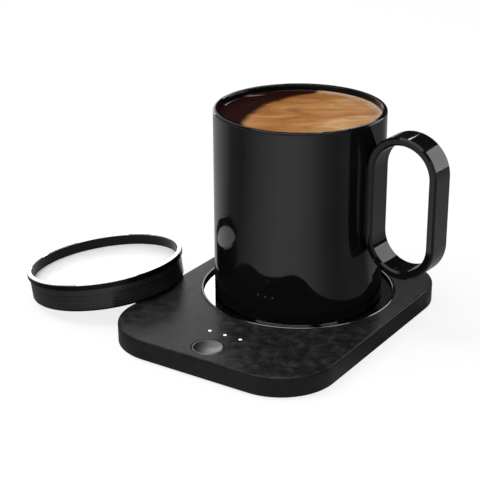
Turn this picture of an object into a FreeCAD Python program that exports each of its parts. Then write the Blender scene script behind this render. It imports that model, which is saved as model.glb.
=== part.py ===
import FreeCAD, Part
import math
import os

# Electric mug warmer with its mug and lid, in millimetres.
# +Z is up, +X runs to the right along the front (button) edge and +Y to the back.
# The origin is under the middle of the base plate, on the surface that it stands on.

Vector = FreeCAD.Vector
UP = Vector(0, 0, 1)

# Driving dimensions: base housing
base_width = 112.4
base_length = 146.6
base_thickness = 9.7
corner_radius = 27.4
wall = 2.0
skin = 1.7
seat_skin = 1.2
top_edge_round = 1.0
bottom_edge_bevel = 0.4
bay_rib_height = 0.9
bay_rib_width = 1.2
bay_rib_gap = 3.0
small_bevel = 0.3
fit = 0.15
glue = 0.05

# Driving dimensions: underside
pad_side_margin = 12.2
pad_end_margin = 12.3
pad_corner_radius = 18.0
pad_thickness = 1.6
pad_proud = 0.8
cover_thickness = 1.8
cover_rib_height = 0.9
cover_rib_width = 1.2
cover_rib_inner_x = 22.0
cover_rib_outer_x = 34.0
cover_rib_front_gap = 9.3
cover_rib_back_gap = 10.1

# Driving dimensions: round seat of the mug and its heater
seat_back_margin = 9.0
seat_opening_radius = 47.3
plate_overlap = 2.3
plate_side_gap = 0.6
plate_thickness = 1.2
gasket_thickness = 0.25
film_inset = 6.6
film_thickness = 0.3
track_count = 4
track_groove = 0.8
track_inner_radius = 5.0
track_bridge = 8.0
insulation_inset = 4.6
clamp_thickness = 0.5
clamp_hub_radius = 12.0
clamp_rim_width = 6.0
clamp_spoke_width = 9.0
clamp_spoke_inset = 2.0
clamp_screw_angle = 35.0
clamp_boss_bite = 0.3
ring_wall_thickness = 1.2
ring_wall_gap_deg = 50.0
trim_width = 1.4
trim_proud = 0.4
trim_lip_overlap = 0.6
trim_bevel = 0.25
trim_seat_gap = 0.1

# Driving dimensions: button, switch and lights
button_front_margin = 11.8
button_bore_radius = 7.5
button_clearance = 0.2
button_flange_width = 1.0
button_flange_thickness = 0.6
button_side_wall = 1.0
button_web_lift = 0.35
button_dish_depth = 0.8
button_dish_margin = 0.6
button_edge_bevel = 0.15
button_inset = 0.1
button_travel = 0.5
plunger_radius = 1.65
plunger_clearance = 0.1
plunger_reach = 0.7
plunger_engagement = 0.9
switch_size = 6.0
switch_height = 2.5
switch_floor_gap = 0.2
light_pitch = 8.4
light_gap_share = 0.28
light_radius = 0.8
light_clearance = 0.05
led_width = 2.0
led_length = 1.3
led_height = 0.8
led_gap = 0.3
pipe_bar_thickness = 1.0
pipe_bar_depth = 2.6
pipe_bar_overhang = 2.5

# Driving dimensions: screws
case_screw_corner_gap = 7.3
boss_radius = 2.9
board_boss_radius = 2.5
screw_core_radius = 1.1
screw_head_radius = 2.2
screw_head_height = 1.0
screw_hole_clearance = 0.2
screw_head_clearance = 0.3
screw_tip_gap = 1.0
pilot_hole_gap = 0.5
screw_sink = 0.4
screw_cup_wall = 1.1
screw_cup_height = 1.2

# Driving dimensions: control board and what is on it
board_width = 62.0
board_thickness = 1.0
board_corner_radius = 2.0
board_front_gap = 2.0
board_back_gap = 0.9
board_screw_clearance = 0.3
board_screw_side_inset = 5.0
board_screw_end_inset = 3.5
connector_width = 6.4
connector_height = 2.8
connector_depth = 4.5
connector_wall = 0.6
connector_back_wall = 1.2
heater_connector_x = 17.0
sensor_connector_x = -17.0
controller_x = -17.0
controller_width = 6.0
controller_length = 5.0
controller_height = 1.5
transistor_x = 16.6
transistor_width = 6.5
transistor_length = 6.0
transistor_height = 2.2
inductor_x = 10.8
inductor_width = 4.0
inductor_height = 2.4
capacitor_x = -10.5
capacitor_radius = 2.0
capacitor_height = 2.6
resistor_width = 0.8
resistor_length = 1.6
resistor_height = 0.6
resistor_pitch = 1.6
resistor_setback = 5.0

# Driving dimensions: leads, thermal fuse and sensor
power_wire_radius = 0.6
power_wire_pitch = 3.0
sensor_wire_radius = 0.4
sensor_wire_pitch = 1.4
supply_wire_pitch = 1.5
wire_bend = 2.4
lead_end_gap = 0.1
lead_straight = 1.5
lead_hole_clearance = 0.5
fuse_radius = 1.2
fuse_length = 9.0
fuse_floor_gap = 0.5
fuse_offset = 25.0
short_lead_offset = 34.0
fused_lead_offset = 17.0
sensor_offset = 12.0
sensor_radius = 1.2
sensor_drop = 1.6
sensor_bevel = 0.4
sensor_wire_bite = 0.3
supply_wall_gap = 1.8
supply_rise_length = 9.0
supply_overlap = 2.2

# Driving dimensions: inlet socket
inlet_x = -24.0
inlet_width = 8.9
inlet_height = 3.2
inlet_depth = 7.3
inlet_sheet = 0.35
inlet_clearance = 0.25
inlet_board_thickness = 0.8
inlet_board_width = 14.0
inlet_board_length = 10.0
inlet_board_corner_radius = 1.0
inlet_board_back_gap = 0.3
inlet_post_height = 0.9
inlet_post_spacing = 10.0
inlet_post_width = 2.0
inlet_rib_width = 6.0
inlet_rib_setback = 1.5
tongue_width = 6.6
tongue_thickness = 0.7
tongue_setback = 1.0
tongue_root = 1.2
tongue_recess = 1.2

# Driving dimensions: mug
mug_radius = 41.0
mug_height = 93.7
mug_wall = 2.5
mug_floor = 4.0
mug_foot_width = 6.0
mug_foot_recess = 0.5
mug_bottom_bevel = 1.2
mug_inner_bevel = 3.5
mug_rim_share = 0.46
handle_reach = 36.0
handle_height = 68.1
handle_band = 3.85
handle_depth = 13.7
handle_bevel = 0.9
handle_standoff = 0.2
handle_drop = 36.5
handle_turn_deg = -3.3
handle_saddle_height = 36.0
handle_saddle_root = 2.0

# Driving dimensions: lid
lid_height = 14.0
lid_flange_inset = 1.7
lid_flange_height = 2.9
lid_rim_width = 2.4
lid_recess_depth = 5.5
lid_disc_thickness = 0.6
lid_floor_thickness = 1.4
lid_skirt_wall = 1.6
lid_sleeve_thickness = 0.6
lid_sleeve_clearance = 0.2
lid_sleeve_bevel = 0.2
lid_base_thickness = 0.8
lid_base_lip = 0.2
lid_spigot_height = 2.2
lid_spigot_wall = 1.2
lid_trim_thickness = 0.4
lid_trim_inset = 0.1
lid_trim_bevel = 0.25
lid_edge_bevel = 0.5
lid_lean_deg = 8.9
lid_rest_gap = 0.3
lid_front_offset = 23.4

# How far a cutting shape runs past a face, how deep fused shapes bite, the least side of a flat oval
past = 1.0
bite = 0.5
least_side = 0.02

# Heights above the standing surface, from the bottom up
housing_bottom = pad_proud
cover_top = housing_bottom + cover_thickness
case_screw_seat = housing_bottom + screw_head_height + screw_sink
screw_cup_top = cover_top + screw_cup_height
lead_floor = cover_top + power_wire_radius + glue
board_bottom = cover_top + board_screw_clearance + screw_head_height
board_top = board_bottom + board_thickness
switch_top = board_top + switch_height
plunger_top = switch_top + plunger_reach
plunger_bottom = switch_top - plunger_engagement
header_mouth = board_top + connector_height / 2
inlet_board_bottom = cover_top + inlet_post_height
inlet_board_top = inlet_board_bottom + inlet_board_thickness
inlet_middle = inlet_board_top + inlet_height / 2
fuse_middle = cover_top + fuse_floor_gap + fuse_radius
clamp_bottom = fuse_middle + fuse_radius + glue
insulation_bottom = clamp_bottom + clamp_thickness

# Heights from the top down: the insulation fills what is left over the clamp
housing_top = housing_bottom + base_thickness
skin_under = housing_top - skin
pocket_top = housing_top - seat_skin
plate_top = pocket_top - gasket_thickness
plate_bottom = plate_top - plate_thickness
film_bottom = plate_bottom - film_thickness
screw_tip = skin_under - screw_tip_gap
pilot_hole_top = skin_under - pilot_hole_gap
flange_top = skin_under - glue
flange_bottom = flange_top - button_flange_thickness
mug_top = plate_top + mug_height

# Sizes and places seen from above
half_width = base_width / 2
half_length = base_length / 2
inner_back = half_length - wall
pad_width = base_width - 2 * pad_side_margin
pad_length = base_length - 2 * pad_end_margin
seat_centre = Vector(0, half_length - seat_back_margin - seat_opening_radius, 0)
plate_radius = seat_opening_radius + plate_overlap
locating_radius = plate_radius + plate_side_gap
ring_wall_radius = locating_radius + ring_wall_thickness
film_radius = plate_radius - film_inset
insulation_radius = plate_radius - insulation_inset
clamp_screw_radius = ring_wall_radius + boss_radius - clamp_boss_bite
screw_diagonal = (corner_radius - case_screw_corner_gap) * math.sqrt(0.5)
case_screw_x = half_width - corner_radius + screw_diagonal
case_screw_y = half_length - corner_radius + screw_diagonal
board_front = -half_length + wall + board_front_gap
board_back = seat_centre.y - ring_wall_radius - board_back_gap
board_middle = (board_front + board_back) / 2
inlet_board_front = inner_back - inlet_board_back_gap - inlet_board_length
inlet_back = half_length - glue

# The three lights lie between the button's flange and the pocket of the seat
button_y = -half_length + button_front_margin
button_radius = button_bore_radius - button_clearance
flange_radius = button_radius + button_flange_width
light_span = seat_centre.y - locating_radius - (button_y + flange_radius)
light_y = button_y + flange_radius + light_gap_share * light_span
LIGHTS = [(i * light_pitch, light_y) for i in (-1, 0, 1)]

# Where the leads and the sensor stand
short_lead = (heater_connector_x - power_wire_pitch / 2, seat_centre.y - short_lead_offset)
fused_lead = (heater_connector_x + power_wire_pitch / 2, seat_centre.y - fused_lead_offset)
sensor_place = (sensor_connector_x, seat_centre.y - sensor_offset)
fuse_back = seat_centre.y - fuse_offset
fuse_front = fuse_back - fuse_length

# Radii of the mug and of the lid that closes it
mug_inner_radius = mug_radius - mug_wall
handle_middle_x = mug_radius + handle_standoff + handle_reach / 2
handle_middle_z = mug_top - handle_drop
lid_flange_radius = mug_radius - lid_flange_inset
lid_recess_radius = lid_flange_radius - lid_rim_width
lid_sleeve_radius = mug_inner_radius - lid_sleeve_clearance
lid_core_radius = lid_sleeve_radius - lid_sleeve_thickness
lid_skirt_radius = lid_core_radius - lid_skirt_wall
lid_base_radius = lid_sleeve_radius - lid_base_lip
lid_flange_bottom = lid_height - lid_flange_height
lid_floor_top = lid_height - lid_recess_depth - lid_disc_thickness


# Shape helpers
def rounded_plate(width, length, radius, low, high, x=0.0, y=0.0):
    """Upright plate with a rounded-rectangle outline, centred on x, y."""
    a = width / 2 - radius
    b = length / 2 - radius
    k = radius * math.sqrt(0.5)
    w = width / 2
    h = length / 2
    edges = [
        Part.LineSegment(Vector(-a, -h, 0), Vector(a, -h, 0)).toShape(),
        Part.Arc(Vector(a, -h, 0), Vector(a + k, -b - k, 0), Vector(w, -b, 0)).toShape(),
        Part.LineSegment(Vector(w, -b, 0), Vector(w, b, 0)).toShape(),
        Part.Arc(Vector(w, b, 0), Vector(a + k, b + k, 0), Vector(a, h, 0)).toShape(),
        Part.LineSegment(Vector(a, h, 0), Vector(-a, h, 0)).toShape(),
        Part.Arc(Vector(-a, h, 0), Vector(-a - k, b + k, 0), Vector(-w, b, 0)).toShape(),
        Part.LineSegment(Vector(-w, b, 0), Vector(-w, -b, 0)).toShape(),
        Part.Arc(Vector(-w, -b, 0), Vector(-a - k, -b - k, 0), Vector(-a, -h, 0)).toShape(),
    ]
    plate = Part.Face(Part.Wire(edges)).extrude(Vector(0, 0, high - low))
    plate.translate(Vector(x, y, low))
    return plate


def disc(radius, low, high, x=0.0, y=0.0):
    """Upright cylinder between two heights."""
    return Part.makeCylinder(radius, high - low, Vector(x, y, low))


def seat_disc(radius, low, high):
    """Upright cylinder on the axis of the round seat."""
    return disc(radius, low, high, seat_centre.x, seat_centre.y)


def ring(inner, outer, low, high, x=0.0, y=0.0):
    """Upright tube between two heights."""
    return disc(outer, low, high, x, y).cut(disc(inner, low, high, x, y))


def seat_ring(inner, outer, low, high):
    """Upright tube on the axis of the round seat."""
    return ring(inner, outer, low, high, seat_centre.x, seat_centre.y)


def block(x0, x1, y0, y1, z0, z1):
    """Box between two corners."""
    return Part.makeBox(x1 - x0, y1 - y0, z1 - z0, Vector(x0, y0, z0))


def centred_block(x, y, width, length, low, high):
    """Box centred on x, y between two heights."""
    return block(x - width / 2, x + width / 2, y - length / 2, y + length / 2, low, high)


def turned(profile, x=0.0, y=0.0):
    """Solid of revolution about the upright line through x, y, from (radius, height) points."""
    points = [Vector(r, 0, z) for r, z in profile]
    points.append(points[0])
    solid = Part.Face(Part.makePolygon(points)).revolve(Vector(0, 0, 0), UP, 360)
    solid.translate(Vector(x, y, 0))
    return solid


def circles_at(shape, radius, height):
    """Level round edges of one radius at one height."""
    found = []
    for edge in edges_at(shape, height):
        if isinstance(edge.Curve, Part.Circle) and abs(edge.Curve.Radius - radius) < 1e-4:
            found.append(edge)
    return found


def edges_at(shape, height):
    """Every level edge at one height."""
    found = []
    for edge in shape.Edges:
        box = edge.BoundBox
        if abs(box.ZMin - height) < 1e-4 and abs(box.ZMax - height) < 1e-4:
            found.append(edge)
    return found


def fused(shapes):
    """Several overlapping shapes as one clean solid."""
    return shapes[0].multiFuse(shapes[1:]).removeSplitter()


def screw(x, y, seat):
    """Pan-head screw driven upwards: its head hangs under seat and its shank ends in the boss."""
    head = disc(screw_head_radius, seat - screw_head_height, seat, x, y)
    return head.fuse(disc(screw_core_radius, seat, screw_tip, x, y)).removeSplitter()


def wire(points, radius):
    """Round lead along straight runs joined by tangent arcs."""
    points = [Vector(*p) for p in points]
    edges = []
    start = points[0]
    for i in range(1, len(points) - 1):
        to_last = (points[i - 1] - points[i]).normalize()
        to_next = (points[i + 1] - points[i]).normalize()
        half = to_last.getAngle(to_next) / 2
        reach = wire_bend / math.tan(half)
        arc_start = points[i] + to_last * reach
        arc_end = points[i] + to_next * reach
        inward = (to_last + to_next).normalize()
        middle = points[i] + inward * (wire_bend / math.sin(half) - wire_bend)
        edges.append(Part.LineSegment(start, arc_start).toShape())
        edges.append(Part.Arc(arc_start, middle, arc_end).toShape())
        start = arc_end
    edges.append(Part.LineSegment(start, points[-1]).toShape())
    path = Part.Wire(edges)
    section = Part.Wire([Part.makeCircle(radius, points[0], points[1] - points[0])])
    return path.makePipeShell([section], True, False)


def case_screw_places():
    """Screws that hold the cover, one in each corner."""
    return [(sx * case_screw_x, sy * case_screw_y) for sx in (-1, 1) for sy in (-1, 1)]


def clamp_screw_places():
    """Screws of the heater clamp, two each side of the seat."""
    places = []
    for angle in (clamp_screw_angle, 180 - clamp_screw_angle, 180 + clamp_screw_angle, -clamp_screw_angle):
        place = seat_centre + Vector(clamp_screw_radius, 0, 0)
        turn = math.radians(angle)
        place.x = seat_centre.x + clamp_screw_radius * math.cos(turn)
        place.y = seat_centre.y + clamp_screw_radius * math.sin(turn)
        places.append((place.x, place.y))
    return places


def board_screw_places():
    """Screws of the control board, near its corners."""
    x = board_width / 2 - board_screw_side_inset
    front = board_front + board_screw_end_inset
    back = board_back - board_screw_end_inset
    return [(side * x, y) for side in (-1, 1) for y in (front, back)]


def inlet_outline(grow, depth, back):
    """Flat-oval prism of the inlet, from its back face forwards."""
    height = inlet_height + 2 * grow
    prism = rounded_plate(inlet_width + 2 * grow, height, (height - least_side) / 2, 0, depth)
    prism.rotate(Vector(0, 0, 0), Vector(1, 0, 0), 90)
    prism.translate(Vector(inlet_x, back, inlet_middle))
    return prism


# Base housing
def top_housing():
    """Moulded shell: skin and walls, ring wall round the heater, screw bosses and ribs."""
    outline = rounded_plate(base_width, base_length, corner_radius, housing_bottom, housing_top)
    shell = outline.makeFillet(top_edge_round, edges_at(outline, housing_top))
    shell = shell.makeChamfer(bottom_edge_bevel, edges_at(shell, housing_bottom))
    inner = (base_width - 2 * wall, base_length - 2 * wall, corner_radius - wall)
    shell = shell.cut(rounded_plate(*inner, housing_bottom - past, skin_under))
    # ring wall round the heater, open at the front for the leads
    ring_wall = seat_ring(locating_radius, ring_wall_radius, insulation_bottom, skin_under).common(outline)
    gap = ring_wall_radius * math.sin(math.radians(ring_wall_gap_deg / 2))
    front = seat_centre.y - ring_wall_radius - past
    ring_wall = ring_wall.cut(block(-gap, gap, front, seat_centre.y, insulation_bottom, skin_under))
    added = [shell, ring_wall]
    for x, y in clamp_screw_places():
        added.append(disc(boss_radius, insulation_bottom, skin_under, x, y))
    for x, y in case_screw_places():
        added.append(disc(boss_radius, screw_cup_top, skin_under, x, y))
    for x, y in board_screw_places():
        added.append(disc(board_boss_radius, board_top, skin_under, x, y))
    # rib that holds the inlet down on its board
    rib_front = half_length - inlet_depth + inlet_rib_setback
    rib_middle = (rib_front + inner_back) / 2
    rib_length = inner_back - rib_front
    added.append(centred_block(inlet_x, rib_middle, inlet_rib_width, rib_length,
                               inlet_board_top + inlet_height, skin_under))
    # stiffening ribs under the front bay, either side of the board
    for side in (-1, 1):
        x = side * (board_width / 2 + bay_rib_gap)
        added.append(centred_block(x, board_middle, bay_rib_width, board_back - board_front,
                                   skin_under - bay_rib_height, skin_under))
    shell = fused(added)
    # round seat: the plate lies in a pocket in the ring wall, under a thinner skin
    shell = shell.cut(seat_disc(locating_radius, insulation_bottom, pocket_top))
    shell = shell.cut(seat_disc(seat_opening_radius, insulation_bottom, housing_top + past))
    # button bore, light holes, inlet and screw holes
    shell = shell.cut(disc(button_bore_radius, skin_under - past, housing_top + past, 0, button_y))
    shell = shell.makeChamfer(small_bevel, circles_at(shell, button_bore_radius, housing_top))
    for x, y in LIGHTS:
        shell = shell.cut(disc(light_radius + light_clearance, skin_under - past, housing_top + past, x, y))
    shell = shell.cut(inlet_outline(inlet_clearance, wall + 2 * past, half_length + past))
    for x, y in clamp_screw_places():
        shell = shell.cut(disc(screw_core_radius, insulation_bottom, pilot_hole_top, x, y))
    for x, y in case_screw_places():
        shell = shell.cut(disc(screw_core_radius, screw_cup_top, pilot_hole_top, x, y))
    for x, y in board_screw_places():
        shell = shell.cut(disc(screw_core_radius, board_top, pilot_hole_top, x, y))
    return shell


def bottom_cover():
    """Cover with raised screw cups, long ribs, posts for the inlet board and the pad's recess."""
    inset = 2 * (wall + fit)
    size = (base_width - inset, base_length - inset, corner_radius - inset / 2)
    added = [rounded_plate(*size, housing_bottom, cover_top)]
    cup_radius = boss_radius + screw_cup_wall
    for x, y in case_screw_places():
        added.append(disc(cup_radius, housing_bottom, screw_cup_top, x, y))
    rib_front = board_back + cover_rib_front_gap
    rib_back = case_screw_y - cover_rib_back_gap
    for x in (-cover_rib_outer_x, -cover_rib_inner_x, cover_rib_inner_x, cover_rib_outer_x):
        added.append(centred_block(x, (rib_front + rib_back) / 2, cover_rib_width, rib_back - rib_front,
                                   cover_top - bite, cover_top + cover_rib_height))
    post_middle = inlet_board_front + inlet_board_length / 2
    for side in (-1, 1):
        x = inlet_x + side * inlet_post_spacing / 2
        added.append(centred_block(x, post_middle, inlet_post_width, inlet_board_length - inlet_post_width,
                                   cover_top - bite, inlet_board_bottom))
    cover = fused(added)
    recess = (pad_width + 2 * fit, pad_length + 2 * fit, pad_corner_radius + fit)
    cover = cover.cut(rounded_plate(*recess, housing_bottom - past, pad_thickness))
    for x, y in case_screw_places():
        cover = cover.cut(disc(screw_head_radius + screw_head_clearance, 0, case_screw_seat, x, y))
        cover = cover.cut(disc(screw_core_radius + screw_hole_clearance, 0, screw_cup_top + past, x, y))
    return cover


def rest_pad():
    """One-piece anti-slip pad that the warmer stands on."""
    pad = rounded_plate(pad_width, pad_length, pad_corner_radius, 0, pad_thickness)
    return pad.makeChamfer(small_bevel, edges_at(pad, 0))


def trim_ring():
    """Bright ring that lines the seat's opening, with a lip on the housing's top."""
    skirt = seat_opening_radius - glue
    lip = seat_opening_radius + trim_lip_overlap
    inner = lip - trim_width
    foot = plate_top + trim_seat_gap
    top = housing_top + trim_proud
    profile = [
        (inner, foot),
        (skirt, foot),
        (skirt, housing_top),
        (lip, housing_top),
        (lip, top),
        (inner, top),
    ]
    trim = turned(profile, seat_centre.x, seat_centre.y)
    return trim.makeChamfer(trim_bevel, circles_at(trim, lip, top) + circles_at(trim, inner, top))


# Heater stack under the seat
def plate_gasket():
    return seat_ring(seat_opening_radius + glue, plate_radius, plate_top, pocket_top)


def heating_plate():
    return seat_disc(plate_radius, plate_bottom, plate_top)


def heater_film():
    """Film with its foil track cut as nested arcs, each open on one side in turn."""
    film = seat_disc(film_radius, film_bottom, plate_bottom)
    pitch = (film_radius - track_inner_radius) / (track_count + 1)
    for i in range(track_count):
        radius = track_inner_radius + (i + 1) * pitch
        groove = seat_ring(radius - track_groove / 2, radius + track_groove / 2, film_bottom,
                           film_bottom + film_thickness / 2)
        side = 1 if i % 2 else -1
        bridge = centred_block(seat_centre.x, seat_centre.y + side * radius, track_bridge, radius,
                               film_bottom, plate_bottom)
        film = film.cut(groove.cut(bridge))
    return film


def lead_holes():
    """Holes that the heater leads and the sensor come through: x, y and radius."""
    lead_hole = power_wire_radius + lead_hole_clearance
    return [(*short_lead, lead_hole), (*fused_lead, lead_hole), (*sensor_place, sensor_radius + small_bevel)]


def insulation_pad():
    pad = seat_disc(insulation_radius, insulation_bottom, film_bottom)
    for x, y, radius in lead_holes():
        pad = pad.cut(disc(radius, insulation_bottom, film_bottom, x, y))
    return pad


def heater_clamp():
    """Stamped spider: rim, hub, four spokes and four screw ears."""
    low, high = clamp_bottom, insulation_bottom
    rim_inner = insulation_radius - clamp_rim_width
    parts = [seat_ring(rim_inner, insulation_radius, low, high), seat_disc(clamp_hub_radius, low, high)]
    reach = 2 * (insulation_radius - clamp_spoke_inset)
    parts.append(centred_block(seat_centre.x, seat_centre.y, reach, clamp_spoke_width, low, high))
    parts.append(centred_block(seat_centre.x, seat_centre.y, clamp_spoke_width, reach, low, high))
    for x, y in clamp_screw_places():
        out = Vector(x, y, 0) - seat_centre
        ear = block(insulation_radius - clamp_rim_width / 2, out.Length, -boss_radius, boss_radius, low, high)
        ear.rotate(Vector(0, 0, 0), UP, math.degrees(math.atan2(out.y, out.x)))
        ear.translate(seat_centre)
        parts += [ear, disc(boss_radius, low, high, x, y)]
    clamp = fused(parts)
    for x, y in clamp_screw_places():
        clamp = clamp.cut(disc(screw_core_radius + screw_hole_clearance, low, high, x, y))
    for x, y, radius in lead_holes():
        clamp = clamp.cut(disc(radius, low, high, x, y))
    return clamp


def clamp_screws():
    return Part.makeCompound([screw(x, y, clamp_bottom) for x, y in clamp_screw_places()])


def case_screws():
    return Part.makeCompound([screw(x, y, case_screw_seat) for x, y in case_screw_places()])


def board_screws():
    return Part.makeCompound([screw(x, y, board_bottom) for x, y in board_screw_places()])


# Control board and what is on it
def control_board():
    board = rounded_plate(board_width, board_back - board_front, board_corner_radius, board_bottom, board_top,
                          0, board_middle)
    for x, y in board_screw_places():
        board = board.cut(disc(screw_core_radius + screw_hole_clearance, board_bottom, board_top, x, y))
    return board


def board_chips():
    """In a row with the switch: controller, power transistor, inductor, capacitor and small resistors."""
    chips = [
        centred_block(controller_x, button_y, controller_width, controller_length,
                      board_top, board_top + controller_height),
        centred_block(transistor_x, button_y, transistor_width, transistor_length,
                      board_top, board_top + transistor_height),
        centred_block(inductor_x, button_y, inductor_width, inductor_width,
                      board_top, board_top + inductor_height),
        disc(capacitor_radius, board_top, board_top + capacitor_height, capacitor_x, button_y),
    ]
    for i in (-1, 0, 1):
        chips.append(centred_block(controller_x + i * resistor_pitch, button_y + resistor_setback,
                                   resistor_width, resistor_length, board_top, board_top + resistor_height))
    return Part.makeCompound(chips)


def header(x, y, turn):
    """Two-pin side-entry header whose mouth faces away from the board."""
    body = centred_block(0, -connector_depth / 2, connector_width, connector_depth, 0, connector_height)
    mouth_depth = connector_depth - connector_back_wall
    mouth = centred_block(0, -mouth_depth / 2, connector_width - 2 * connector_wall, mouth_depth,
                          connector_wall, connector_height - connector_wall)
    body = body.cut(mouth)
    body.rotate(Vector(0, 0, 0), UP, turn)
    body.translate(Vector(x, y, board_top))
    return body


def board_connectors():
    heater = header(heater_connector_x, board_back, 0)
    sensor = header(sensor_connector_x, board_back, 0)
    supply = header(-board_width / 2, board_middle, 90)
    return Part.makeCompound([heater, sensor, supply])


def indicator_leds():
    top = board_top + led_height
    return Part.makeCompound([centred_block(x, y, led_width, led_length, board_top, top) for x, y in LIGHTS])


def light_pipe():
    """One clear moulding: a carrier bar under the skin with three pins up through it."""
    bar_width = 2 * (light_pitch + pipe_bar_overhang)
    bar_bottom = skin_under - pipe_bar_thickness
    pieces = [centred_block(0, light_y, bar_width, pipe_bar_depth, bar_bottom, skin_under)]
    for x, y in LIGHTS:
        pieces.append(disc(light_radius, board_top + led_height + led_gap, housing_top, x, y))
    return fused(pieces)


def switch_body():
    body = centred_block(0, button_y, switch_size, switch_size, board_top, switch_top)
    well_bottom = plunger_bottom - button_travel - switch_floor_gap
    return body.cut(disc(plunger_radius + plunger_clearance, well_bottom, switch_top, 0, button_y))


def switch_plunger():
    return disc(plunger_radius, plunger_bottom, plunger_top, 0, button_y)


def button_cap():
    """Dished cap with a flange that keeps it under the skin and a post onto the switch."""
    top = housing_top - button_inset
    web_under = flange_top + button_web_lift
    cap = disc(button_radius, flange_bottom, top, 0, button_y)
    cap = cap.fuse(disc(flange_radius, flange_bottom, flange_top, 0, button_y)).removeSplitter()
    cap = cap.cut(disc(button_radius - button_side_wall, flange_bottom, web_under, 0, button_y))
    cap = cap.fuse(disc(plunger_radius, plunger_top, web_under, 0, button_y)).removeSplitter()
    # concave top: a ball that cuts to the dish's depth and reaches nearly to the edge
    dish_radius = button_radius - button_dish_margin
    ball_radius = (dish_radius ** 2 + button_dish_depth ** 2) / (2 * button_dish_depth)
    ball = Part.makeSphere(ball_radius, Vector(0, button_y, top - button_dish_depth + ball_radius))
    cap = cap.cut(ball)
    return cap.makeChamfer(button_edge_bevel, circles_at(cap, button_radius, top))


# Inlet and inner wiring
def inlet_shell():
    """Drawn sheet sleeve of the socket."""
    shell = inlet_outline(0, inlet_depth, inlet_back)
    return shell.cut(inlet_outline(-inlet_sheet, inlet_depth, inlet_back))


def inlet_tongue():
    """Insulator across the sleeve with the contact blade standing out of it."""
    root_front = inlet_back - inlet_depth + tongue_setback
    insulator = inlet_outline(-inlet_sheet, tongue_root, root_front + tongue_root)
    blade_back = inlet_back - tongue_recess
    blade = centred_block(inlet_x, (root_front + blade_back) / 2, tongue_width, blade_back - root_front,
                          inlet_middle - tongue_thickness / 2, inlet_middle + tongue_thickness / 2)
    return insulator.fuse(blade).removeSplitter()


def inlet_board():
    middle = inlet_board_front + inlet_board_length / 2
    return rounded_plate(inlet_board_width, inlet_board_length, inlet_board_corner_radius,
                         inlet_board_bottom, inlet_board_top, inlet_x, middle)


def lead_from_board(x, end_y):
    """Points of a lead from a header, down under the clamp and back to end_y."""
    return [
        (x, board_back - connector_depth + connector_back_wall + lead_end_gap, header_mouth),
        (x, board_back + lead_straight, header_mouth),
        (x, seat_centre.y - insulation_radius - bite, fuse_middle),
        (x, end_y, fuse_middle),
    ]


def heater_wires():
    """Two leads to the heater film, one of them through the thermal fuse."""
    plain = lead_from_board(*short_lead) + [(*short_lead, film_bottom)]
    to_fuse = lead_from_board(fused_lead[0], fuse_front)
    fuse_end = (fused_lead[0], fuse_back, fuse_middle)
    from_fuse = [fuse_end, (*fused_lead, fuse_middle), (*fused_lead, film_bottom)]
    return Part.makeCompound([wire(points, power_wire_radius) for points in (plain, to_fuse, from_fuse)])


def thermal_fuse():
    start = Vector(fused_lead[0], fuse_front, fuse_middle)
    return Part.makeCylinder(fuse_radius, fuse_length, start, Vector(0, 1, 0))


def temperature_sensor():
    low = clamp_bottom - sensor_drop
    bead = disc(sensor_radius, low, film_bottom, *sensor_place)
    return bead.makeChamfer(sensor_bevel, circles_at(bead, sensor_radius, low))


def sensor_wires():
    leads = []
    for side in (-1, 1):
        x = sensor_connector_x + side * sensor_wire_pitch / 2
        points = lead_from_board(x, sensor_place[1] - sensor_radius + sensor_wire_bite)
        leads.append(wire(points, sensor_wire_radius))
    return Part.makeCompound(leads)


def supply_wires():
    """Two leads laid along the left wall, from the inlet board round to the control board."""
    on_board = inlet_board_top + power_wire_radius + glue
    outer_x = -half_width + wall + supply_wall_gap
    header_x = -board_width / 2
    leads = []
    for inward in (0, supply_wire_pitch):
        x = inlet_x - connector_width / 2 - supply_wire_pitch + inward
        y = board_middle - supply_wire_pitch / 2 + inward
        points = [
            (x, inlet_board_front + supply_overlap, on_board),
            (x, inlet_board_front - lead_straight - inward, on_board),
            (outer_x + inward, half_length - corner_radius - inward, lead_floor),
            (outer_x + inward, y + supply_rise_length, lead_floor),
            (header_x - 2 * lead_straight, y, header_mouth),
            (header_x + connector_depth - connector_back_wall - lead_end_gap, y, header_mouth),
        ]
        leads.append(wire(points, power_wire_radius))
    return Part.makeCompound(leads)


# Mug
def mug_body():
    """Straight-sided mug on a narrow foot ring, with a rounded rim."""
    foot_inner = mug_radius - mug_bottom_bevel - mug_foot_width
    floor_top = plate_top + mug_floor
    profile = [
        (0, plate_top + mug_foot_recess),
        (foot_inner - mug_foot_recess, plate_top + mug_foot_recess),
        (foot_inner, plate_top),
        (mug_radius, plate_top),
        (mug_radius, mug_top),
        (mug_inner_radius, mug_top),
        (mug_inner_radius, floor_top),
        (0, floor_top),
    ]
    body = turned(profile, seat_centre.x, seat_centre.y)
    body = body.makeChamfer(mug_bottom_bevel, circles_at(body, mug_radius, plate_top))
    body = body.makeChamfer(mug_inner_bevel, circles_at(body, mug_inner_radius, floor_top))
    rim = circles_at(body, mug_radius, mug_top) + circles_at(body, mug_inner_radius, mug_top)
    return body.makeFillet(mug_wall * mug_rim_share, rim)


def handle_loop(shrink, depth):
    """Upright flat-oval prism of the handle, shrunk all round, lying along Y beside the mug's axis."""
    width = handle_reach - 2 * shrink
    height = handle_height - 2 * shrink
    loop = rounded_plate(width, height, (width - least_side) / 2, -depth / 2, depth / 2)
    loop.rotate(Vector(0, 0, 0), Vector(1, 0, 0), 90)
    loop.translate(Vector(handle_middle_x, 0, handle_middle_z))
    return loop


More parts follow.
